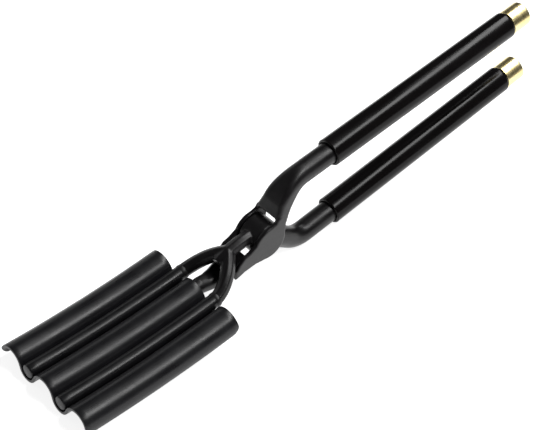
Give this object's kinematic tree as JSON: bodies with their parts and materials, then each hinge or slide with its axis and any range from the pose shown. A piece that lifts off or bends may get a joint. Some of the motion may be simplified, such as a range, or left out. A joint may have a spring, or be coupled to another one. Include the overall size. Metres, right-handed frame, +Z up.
{
  "type": "marcel waver iron",
  "caption": "Stove-heated hair waving iron: a fork with two rods closes into the valleys of a ridged plate, with revolving grips on both handles.",
  "frame": {"origin": "on the bench under the middle of the whole iron, lying on its plate's front edge and on the bend of its lower arm", "axes": "+X from the plate's tip towards the handles, +Z up from the bench, y = 0 the plane that both arms lie in"},
  "size_m": [0.2926, 0.058, 0.0731],
  "materials": {
    "blackened_sheet": "satin black oxide on rolled sheet",
    "blackened_forging": "satin black oxide on forged steel",
    "blackened_rod": "satin black oxide on drawn rod",
    "weld_metal": "blackened weld bead",
    "grip_plastic": "glossy black",
    "polished_brass": "polished"
  },
  "bodies": {
    "yoke_half": {"yoke_arm": "blackened_forging", "wave_plate": "blackened_sheet", "stem_welds": "weld_metal", "pivot_rivet": "blackened_forging", "upper_end_cap": "polished_brass"},
    "fork_half": {"fork_arm": "blackened_forging", "far_rod": "blackened_rod", "near_rod": "blackened_rod", "far_rod_weld": "weld_metal", "near_rod_weld": "weld_metal", "lower_end_cap": "polished_brass"},
    "upper_sleeve": {"upper_grip": "grip_plastic"},
    "lower_sleeve": {"lower_grip": "grip_plastic"}
  },
  "joints": [
    {"name": "jaw_pivot", "type": "hinge", "parent": "yoke_half", "child": "fork_half", "pos_m": [-0.02633, 0, 0.02038], "axis": [0, 1, 0], "range_deg": [0, 32]},
    {"name": "upper_grip_spin", "type": "hinge", "parent": "yoke_half", "child": "upper_sleeve", "pos_m": [0.01278, 0, 0.04717], "axis": [0.988, 0, 0.1543], "continuous": true},
    {"name": "lower_grip_spin", "type": "hinge", "parent": "fork_half", "child": "lower_sleeve", "pos_m": [0.0183, 0, 0.00844], "axis": [0.9827, 0, 0.1853], "continuous": true}
  ]
}
